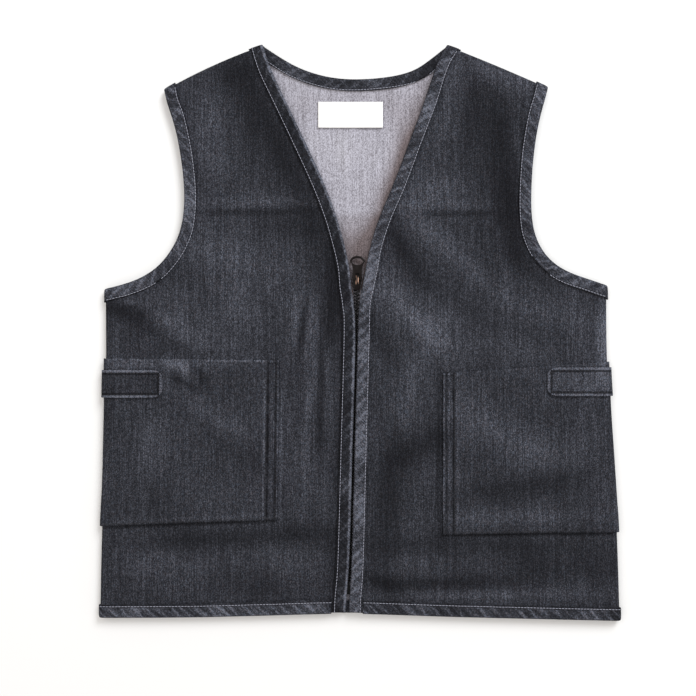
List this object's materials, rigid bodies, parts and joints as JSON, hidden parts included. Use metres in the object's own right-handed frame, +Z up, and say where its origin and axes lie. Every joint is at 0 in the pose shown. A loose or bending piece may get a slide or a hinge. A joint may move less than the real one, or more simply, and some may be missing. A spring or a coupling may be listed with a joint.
{
  "type": "denim vest",
  "caption": "Child's sleeveless V-neck denim vest with a zip front, bias-bound edges and patch pockets, zipped up and laid flat on its back.",
  "frame": {"origin": "under the middle of the laid-out vest, on the surface that it lies on", "axes": "+Z up from the surface, +Y towards the neck, +X towards the wearer's left side"},
  "size_m": [0.4028, 0.444, 0.0095],
  "materials": {
    "denim": "washed blue-black denim, light grey on its wrong side",
    "bias_binding": "the same denim cut on the bias, puckered and worn lighter",
    "woven_label": "plain white woven tape",
    "zip_tape": "dark brown woven tape",
    "zip_teeth": "black moulded teeth",
    "zip_metal": "satin black painted metal"
  },
  "bodies": {
    "vest": {"back": "denim", "right_front": "denim", "left_front": "denim", "right_pocket": "denim", "left_pocket": "denim", "right_tab": "denim", "left_tab": "denim", "right_front_edge_binding": "bias_binding", "left_front_edge_binding": "bias_binding", "right_armhole_binding_front": "bias_binding", "right_armhole_binding_back": "bias_binding", "left_armhole_binding_front": "bias_binding", "left_armhole_binding_back": "bias_binding", "back_neck_binding": "bias_binding", "right_hem_binding": "bias_binding", "left_hem_binding": "bias_binding", "back_hem_binding": "bias_binding", "label": "woven_label", "right_zip_tape": "zip_tape", "left_zip_tape": "zip_tape", "right_zip_chain": "zip_teeth", "left_zip_chain": "zip_teeth", "zip_box": "zip_teeth", "zip_slider": "zip_metal"},
    "pull_tab": {"zip_pull": "zip_metal"}
  },
  "joints": [
    {"name": "pull_tab_hinge", "type": "hinge", "parent": "vest", "child": "pull_tab", "pos_m": [-0.0019, 0.04084, 0.0061], "axis": [1, 0, 0], "range_deg": [0, 150]}
  ]
}
